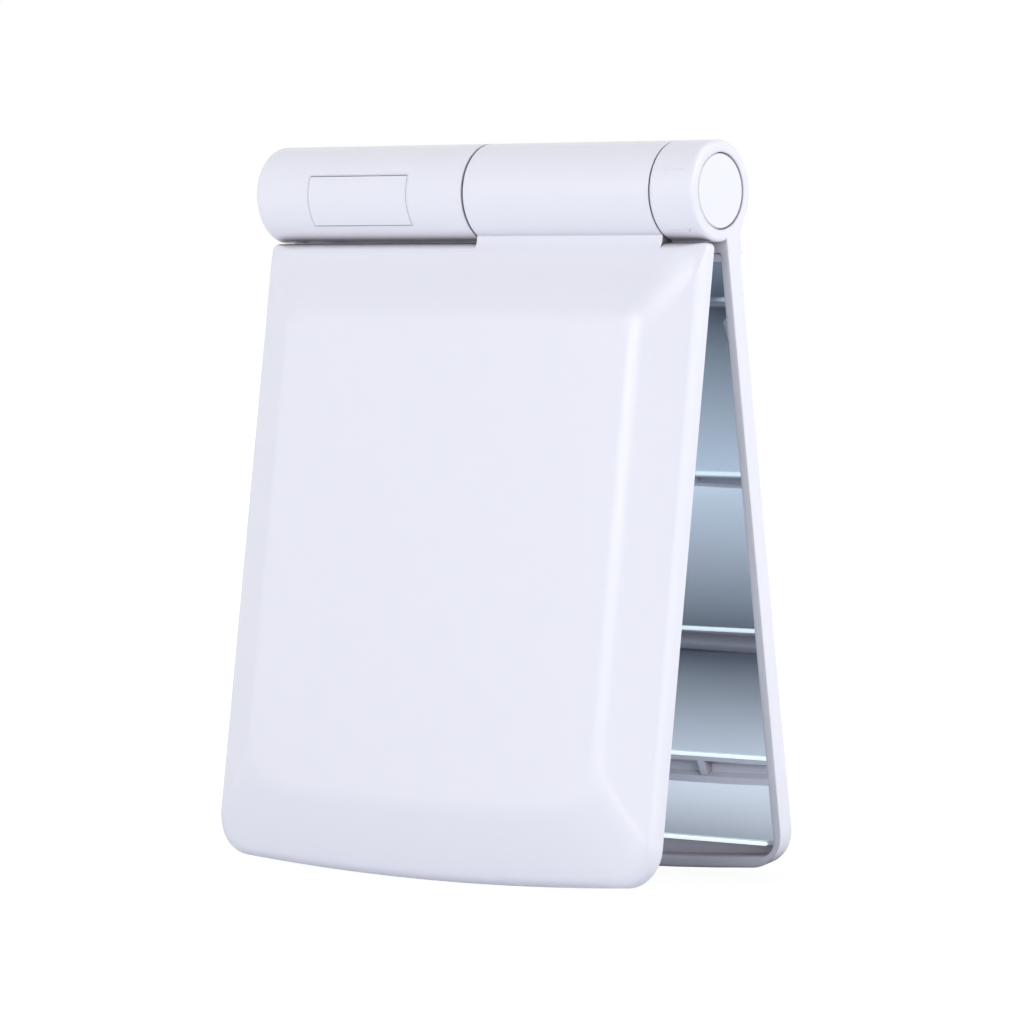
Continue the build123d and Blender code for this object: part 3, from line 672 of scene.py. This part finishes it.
def prism(points, x0, x1):
    """A closed block along the barrel from a profile of (depth, height) points."""
    made = bmesh.new()
    ends = [[made.verts.new((x, depth, height)) for depth, height in points] for x in (x0, x1)]
    for index in range(len(points)):
        after = (index + 1) % len(points)
        made.faces.new((ends[0][index], ends[0][after], ends[1][after], ends[1][index]))
    made.faces.new(ends[0])
    made.faces.new(ends[1])
    bmesh.ops.recalc_face_normals(made, faces=made.faces)
    return made


class Recipe(Maker):
    """A geometry node tree with named inputs, which makes one piece."""

    def __init__(self, name, inputs):
        super().__init__(bpy.data.node_groups.new(name, "GeometryNodeTree"))
        self.inputs = inputs
        self.identifiers = {}
        for label in inputs:
            socket = self.tree.interface.new_socket(label, in_out="INPUT", socket_type="NodeSocketFloat")
            self.identifiers[label] = socket.identifier
        self.tree.interface.new_socket("Geometry", in_out="OUTPUT", socket_type="NodeSocketGeometry")
        self.given = self.node("NodeGroupInput")

    def __getitem__(self, label):
        return self.given[label]

    def vector(self, x=0.0, y=0.0, z=0.0):
        """A vector from its parts."""
        return self.node("ShaderNodeCombineXYZ", None, {"X": x, "Y": y, "Z": z})

    def line(self, start, end):
        """A straight line between two points."""
        return self.node("GeometryNodeCurvePrimitiveLine", None, {"Start": start, "End": end})

    def make(self, name, geometry, material):
        """Close the tree, run it and give a plain mesh object."""
        real = self.node("GeometryNodeRealizeInstances", None, {0: geometry})
        dressed = self.node("GeometryNodeSetMaterial", None, {"Geometry": real, "Material": material})
        self.node("NodeGroupOutput", None, {"Geometry": dressed})
        piece = bpy.data.objects.new(name, bpy.data.meshes.new(name))
        bpy.context.scene.collection.objects.link(piece)
        recipe = piece.modifiers.new(name, "NODES")
        recipe.node_group = self.tree
        for label, value in self.inputs.items():
            recipe[self.identifiers[label]] = value
        return settle(piece)


def place_mesh(piece, matrix):
    """Move a piece's mesh, keeping its faces outwards."""
    piece.data.transform(matrix)
    if matrix.determinant() < 0:
        piece.data.flip_normals()


class MIRROR_OT_lamp_windows(bpy.types.Operator):
    """Fill the lamp slots of the lit mirror with crowned frosted windows"""
    bl_idname = "mirror.lamp_windows"
    bl_label = "Lamp windows"

    def execute(self, context):
        sizes = context.scene.mirror_windows
        low, high = leaf_box("led_lenses", FRONT)
        thickness = high.y - low.y
        recipe = Recipe("lamp_windows", {
            "Width": sizes.width,
            "Length": sizes.length,
            "Corner": sizes.corner,
            "Thickness": thickness - sizes.crown,
            "Crown": sizes.crown,
            "Top": sizes.top,
            "Across": high.x - low.x - sizes.width,
            "Along": high.z - low.z - sizes.length,
        })
        outline = recipe.node("GeometryNodeCurvePrimitiveQuadrilateral", {"mode": "RECTANGLE"},
                              {"Width": recipe["Width"], "Height": recipe["Length"]})
        rounded = recipe.node("GeometryNodeFilletCurve", {"mode": "POLY"},
                              {"Curve": outline, "Radius": recipe["Corner"], "Count": WINDOW_CORNER_STEPS,
                                "Limit Radius": True})
        plate = recipe.node("GeometryNodeFillCurve", {"mode": "NGONS"}, {"Curve": rounded})
        wall = recipe.node("GeometryNodeExtrudeMesh", {"mode": "FACES"},
                           {"Mesh": plate, "Offset Scale": recipe["Thickness"]})
        crown = recipe.node("GeometryNodeExtrudeMesh", {"mode": "FACES"},
                            {"Mesh": wall, "Selection": wall["Top"], "Offset Scale": recipe["Crown"]})
        narrowed = recipe.node("GeometryNodeScaleElements", {"domain": "FACE"},
                               {"Geometry": crown, "Selection": crown["Top"], "Scale": recipe["Top"]})
        base = recipe.node("GeometryNodeFlipFaces", None, {"Mesh": plate})
        joined = recipe.node("GeometryNodeJoinGeometry", None, {0: [narrowed, base]})
        window = recipe.node("GeometryNodeMergeByDistance", None, {"Geometry": joined, "Distance": WELD / 2})
        grid = recipe.node("GeometryNodeMeshGrid", None,
                           {"Size X": recipe["Across"], "Size Y": recipe["Along"], "Vertices X": 2,
                            "Vertices Y": sizes.rows})
        windows = recipe.node("GeometryNodeInstanceOnPoints", None, {"Points": grid, "Instance": window})
        piece = recipe.make("lamp_windows", windows, FINISHES["lens_plastic"])
        middle = Vector((0.0, high.y, (low.z + high.z) / 2))
        place_mesh(piece, leaf_matrix(FRONT) @ Matrix.Translation(middle) @ Matrix.Rotation(pi / 2, 4, "X"))
        smooth(piece)
        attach(piece, "front_leaf")
        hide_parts("led_lenses")
        return {"FINISHED"}


class MIRROR_OT_ring_marks(bpy.types.Operator):
    """Raise two arrows on the ring that carries the push button"""
    bl_idname = "mirror.ring_marks"
    bl_label = "Ring marks"

    def execute(self, context):
        marks = context.scene.mirror_marks
        recipe = Recipe("ring_marks", {
            "Length": marks.length,
            "Barb": marks.barb,
            "Stroke": marks.stroke,
            "Radius": BARREL_RADIUS + marks.proud - marks.stroke,
            "Middle": marks.middle,
            "Upper": marks.upper,
            "Lower": marks.lower,
        })
        half = 0.5 * recipe["Length"]
        tip = recipe.vector(half)
        back = half - recipe["Barb"]
        strokes = [
            recipe.line(recipe.vector(-half), tip),
            recipe.line(recipe.vector(back, recipe["Barb"]), tip),
            recipe.line(recipe.vector(back, -recipe["Barb"]), tip),
        ]
        joined = recipe.node("GeometryNodeJoinGeometry", None, {0: strokes})
        points = recipe.node("GeometryNodeResampleCurve", None, {"Curve": joined, "Count": STROKE_POINTS})
        flat = recipe.split(recipe.node("GeometryNodeInputPosition"))
        turn = flat["Y"] / recipe["Radius"]
        round_ring = recipe.vector(flat["X"], -(recipe["Radius"] * recipe.maths("COSINE", turn)),
                                   recipe["Radius"] * recipe.maths("SINE", turn))
        wrapped = recipe.node("GeometryNodeSetPosition", None, {"Geometry": points, "Position": round_ring})
        section = recipe.node("GeometryNodeCurvePrimitiveCircle", None,
                              {"Resolution": STROKE_SIDES, "Radius": recipe["Stroke"]})
        arrow = recipe.node("GeometryNodeCurveToMesh", None,
                            {"Curve": wrapped, "Profile Curve": section, "Fill Caps": True})
        away = recipe.vector(recipe["Middle"])
        left = recipe.node("GeometryNodeTransform", None,
                           {"Geometry": arrow, "Translation": away,
                            "Rotation": recipe.vector(recipe["Upper"], pi)})
        right = recipe.node("GeometryNodeTransform", None,
                            {"Geometry": arrow, "Translation": away,
                             "Rotation": recipe.vector(recipe["Lower"])})
        pair = recipe.node("GeometryNodeJoinGeometry", None, {0: [left, right]})
        piece = recipe.make("ring_marks", pair, FINISHES["white_plastic"])
        place_mesh(piece, Matrix.Translation(Vector((0.0, AXIS.y, AXIS.z))))
        smooth(piece, radians(50))
        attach(piece, "rear_leaf")
        return {"FINISHED"}


class MIRROR_OT_cover(bpy.types.Operator):
    """Build the domed front cover with its neck and middle tube"""
    bl_idname = "mirror.cover"
    bl_label = "Front cover"

    def execute(self, context):
        sizes = context.scene.mirror_cover
        cover = to_object(loft(cover_rings(sizes)), "front_cover_shell")
        bore = BARREL_RADIUS - sizes.tube_wall
        tuck = BARREL_RADIUS - sizes.tube_wall / 2
        leaf_top = BARREL_RADIUS + sizes.leaf_gap
        angle = slope(sizes, sizes.top_bevel)
        fall = sizes.rim_round
        sunk = 0.05 * MM
        profile = [
            (sizes.rim_face, -tuck),
            (sizes.rim_face, -leaf_top - fall),
            (sizes.side_wall + fall * tan(angle) - sunk, -leaf_top - fall),
            (sizes.neck_depth, -leaf_top - (sizes.neck_depth - sizes.side_wall) / tan(angle)),
            (sizes.neck_depth, -sqrt(tuck ** 2 - sizes.neck_depth ** 2)),
        ]
        neck = to_object(prism(profile, SEAM_LEFT, SEAM_RIGHT), "neck")
        middle = to_object(tube(SEAM_LEFT, SEAM_RIGHT, BARREL_RADIUS, bore, sizes.tube_edge), "middle_tube")
        join_solid(cover, neck)
        join_solid(cover, middle)
        place_mesh(cover, leaf_matrix(FRONT))
        smooth(cover)
        cover.data.materials.clear()
        cover.data.materials.append(FINISHES["white_plastic"])
        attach(cover, "front_leaf")
        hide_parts("front_cover")
        return {"FINISHED"}


class MIRROR_OT_battery_door(bpy.types.Operator):
    """Fit the battery door closely into its opening"""
    bl_idname = "mirror.battery_door"
    bl_label = "Battery door"

    def execute(self, context):
        grow = context.scene.mirror_door.grow
        made = bmesh.new()
        made.from_mesh(frame["nodes"]["battery_door"].data)
        bmesh.ops.remove_doubles(made, verts=made.verts, dist=WELD)
        turns = [atan2(AXIS.y - vertex.co.y, vertex.co.z - AXIS.z) for vertex in made.verts]
        low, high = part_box("battery_door")
        middle_x = (low.x + high.x) / 2
        middle_turn = (min(turns) + max(turns)) / 2
        longer = 1 + 2 * grow / (high.x - low.x)
        wider = 1 + 2 * grow / (BARREL_RADIUS * (max(turns) - min(turns)))
        for vertex, turn in zip(made.verts, turns):
            radius = sqrt((vertex.co.y - AXIS.y) ** 2 + (vertex.co.z - AXIS.z) ** 2)
            turn = middle_turn + (turn - middle_turn) * wider
            vertex.co = (middle_x + (vertex.co.x - middle_x) * longer, AXIS.y - radius * sin(turn),
                         AXIS.z + radius * cos(turn))
        door = smooth(to_object(made, "battery_door_cover"))
        door.data.materials.append(FINISHES["white_plastic"])
        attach(door, "battery_door")
        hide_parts("battery_door")
        return {"FINISHED"}


class MIRROR_OT_pane_feet(bpy.types.Operator):
    """Add the polished strip along the foot of each pane, which glows with painted light"""
    bl_idname = "mirror.pane_feet"
    bl_label = "Pane feet"

    def execute(self, context):
        sizes = context.scene.mirror_feet
        for node, side, body in (("rear_mirror", REAR, "rear_leaf"), ("lit_mirror", FRONT, "front_leaf")):
            low, high = leaf_box(node, side)
            face = low.y - sizes.proud
            back = (low.y + high.y) / 2
            top = low.z + sizes.height
            soft = sizes.proud / 4
            profile = [(back, top), (face + soft, top), (face, top - soft), (face, low.z + soft),
                       (face + soft, low.z), (back, low.z)]
            reach = high.x - sizes.inset
            foot = to_object(prism(profile, -reach, reach), node + "_foot", leaf_matrix(side))
            smooth(foot)
            foot.data.materials.append(FINISHES["pane_foot"])
            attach(foot, body)
        return {"FINISHED"}


class MIRROR_OT_finish_nodes(bpy.types.Operator):
    """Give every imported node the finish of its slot"""
    bl_idname = "mirror.finish_nodes"
    bl_label = "Packed nodes"

    def execute(self, context):
        for part in frame["record"]["subparts"]:
            node = frame["nodes"][part["node"]]
            node.data.materials.clear()
            node.data.materials.append(FINISHES.get(part["node"]) or FINISHES[part["material_slot"]])
        return {"FINISHED"}


class MIRROR_OT_stage(bpy.types.Operator):
    """Set the camera, lamps, floor and background"""
    bl_idname = "mirror.stage"
    bl_label = "Stage"

    def execute(self, context):
        studio = context.scene.mirror_studio
        add_camera(studio)
        add_world(studio)
        add_floor(context.scene.mirror_floor)
        for lamp in LAMPS:
            panel_lamp(*lamp)
        # Light goes to and fro many times between the facing panes
        context.scene.cycles.max_bounces = 16
        context.scene.cycles.glossy_bounces = 14
        return {"FINISHED"}


def add_camera(studio):
    """The camera, looking along its yaw and pitch, rolled about that line."""
    data = bpy.data.cameras.new("camera")
    data.lens = studio.lens
    data.sensor_width = 36.0
    data.clip_start = 0.01
    camera = bpy.data.objects.new("camera", data)
    bpy.context.scene.collection.objects.link(camera)
    ahead = Vector((-sin(studio.yaw) * cos(studio.pitch), cos(studio.yaw) * cos(studio.pitch), sin(studio.pitch)))
    right = Vector((cos(studio.yaw), sin(studio.yaw), 0.0))
    up = right.cross(ahead)
    tilted = right * cos(studio.roll) + up * sin(studio.roll)
    above = up * cos(studio.roll) - right * sin(studio.roll)
    turn = Matrix((tilted, above, -ahead)).transposed().to_4x4()
    camera.matrix_world = Matrix.Translation(AXIS + Vector(studio.camera)) @ turn
    bpy.context.scene.camera = camera


def add_world(studio):
    """An even sky that the camera and reflections see as white."""
    world = bpy.data.worlds.new("sky")
    bpy.context.scene.world = world
    world.use_nodes = True
    world.node_tree.nodes.clear()
    maker = Maker(world.node_tree)
    path = maker.node("ShaderNodeLightPath")
    seen = maker.maths("MAXIMUM", path["Is Camera Ray"], path["Is Glossy Ray"])
    seen = maker.maths("MAXIMUM", seen, path["Is Transmission Ray"])
    even = maker.node("ShaderNodeBackground", None, {"Color": rgba(studio.sky_colour), "Strength": studio.sky})
    white = maker.node("ShaderNodeBackground", None, {"Color": WHITE})
    sky = maker.node("ShaderNodeMixShader", None, {0: seen, 1: even, 2: white})
    maker.node("ShaderNodeOutputWorld", None, {"Surface": sky})


def add_floor(look):
    """A pale floor that runs into the white background around a soft shadow, with painted shade on the paper near
    and between the leaves and painted light in the white that the panes see.
    """
    made = bmesh.new()
    bmesh.ops.create_grid(made, x_segments=1, y_segments=1, size=look.size)
    floor = to_object(made, "floor")
    finish = Finish("floor")
    path = finish.node("ShaderNodeLightPath")
    camera = path["Is Camera Ray"]
    mirrored = finish.maths("MAXIMUM", path["Is Glossy Ray"], path["Is Transmission Ray"])
    away = finish.node("ShaderNodeVectorMath", {"operation": "LENGTH"}, {0: finish.place()})["Value"]
    far = finish.ramp(away, look.near, look.far, "SMOOTHSTEP")
    front = finish.ramp(finish.split(finish.place())["Y"], look.back, look.front)
    beside = finish.ramp(away, look.beside_near, look.beside_far)
    # Painted light: the white that the panes see fades from the front leaf's foot to the rear leaf's foot.
    lift = camera * (look.seen + (1 - look.seen) * far)
    lift += mirrored * finish.maths("MAXIMUM", look.mirrored * front, far)
    # Painted shade: the paper is coloured darker between the leaves and beside them, lighter towards the front.
    light = finish.maths("MAXIMUM", look.front_tone * front, beside)
    tone = finish.colour_mix(light, rgba(look.painted_shade_paper), rgba(look.light))
    # Near the mirror the white that only the panes see is tinted blue.
    shine = finish.colour_mix(finish.maths("MAXIMUM", camera, far), rgba(look.tint), WHITE)
    paper = finish.node("ShaderNodeBsdfDiffuse", None, {"Color": tone})
    white = finish.node("ShaderNodeEmission", None, {"Color": shine, "Strength": look.glow})
    floor.data.materials.append(finish.close(finish.node("ShaderNodeMixShader", None,
                                                         {0: lift, 1: paper, 2: white})))


def panel_lamp(name, direction, distance, width, height, power):
    """A soft box that looks at the middle of the mirror."""
    data = bpy.data.lights.new(name, "AREA")
    data.shape = "RECTANGLE"
    data.size = width
    data.size_y = height
    data.energy = power
    lamp = bpy.data.objects.new(name, data)
    bpy.context.scene.collection.objects.link(lamp)
    middle = Vector((0.0, 0.0, AXIS.z / 2))
    away = Vector(direction).normalized()
    lamp.location = middle + away * distance
    lamp.rotation_mode = "QUATERNION"
    lamp.rotation_quaternion = away.to_track_quat("Z", "Y")


class MIRROR_PT_panel(bpy.types.Panel):
    """Lists the steps that dress the mirror"""
    bl_label = "Mirror"
    bl_idname = "MIRROR_PT_panel"
    bl_space_type = "VIEW_3D"
    bl_region_type = "UI"
    bl_category = "Mirror"

    def draw(self, context):
        for step in STEPS:
            self.layout.operator(step.bl_idname)


STEPS = (
    MIRROR_OT_finish_nodes,
    MIRROR_OT_cover,
    MIRROR_OT_lamp_windows,
    MIRROR_OT_battery_door,
    MIRROR_OT_pane_feet,
    MIRROR_OT_ring_marks,
    MIRROR_OT_stage,
)
GROUPS = {
    "mirror_cover": CoverSizes,
    "mirror_windows": WindowSizes,
    "mirror_marks": MarkSizes,
    "mirror_door": DoorSizes,
    "mirror_feet": FootSizes,
    "mirror_corners": CornerShade,
    "mirror_colours": Colours,
    "mirror_studio": Studio,
    "mirror_floor": FloorLook,
}
FINISHES = {}


def register():
    for group in GROUPS.values():
        bpy.utils.register_class(group)
    for name, group in GROUPS.items():
        setattr(bpy.types.Scene, name, PointerProperty(type=group))
    for step in (*STEPS, MIRROR_PT_panel):
        bpy.utils.register_class(step)


def unregister():
    for step in (*STEPS, MIRROR_PT_panel):
        bpy.utils.unregister_class(step)
    for name, group in GROUPS.items():
        delattr(bpy.types.Scene, name)
        bpy.utils.unregister_class(group)


def main():
    register()
    bpy.context.scene.view_settings.view_transform = "Standard"
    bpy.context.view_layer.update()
    FINISHES.update(make_finishes())
    for step in STEPS:
        getattr(bpy.ops.mirror, step.bl_idname.split(".")[1])()
    bpy.context.view_layer.update()


if __name__ == "__main__":
    main()
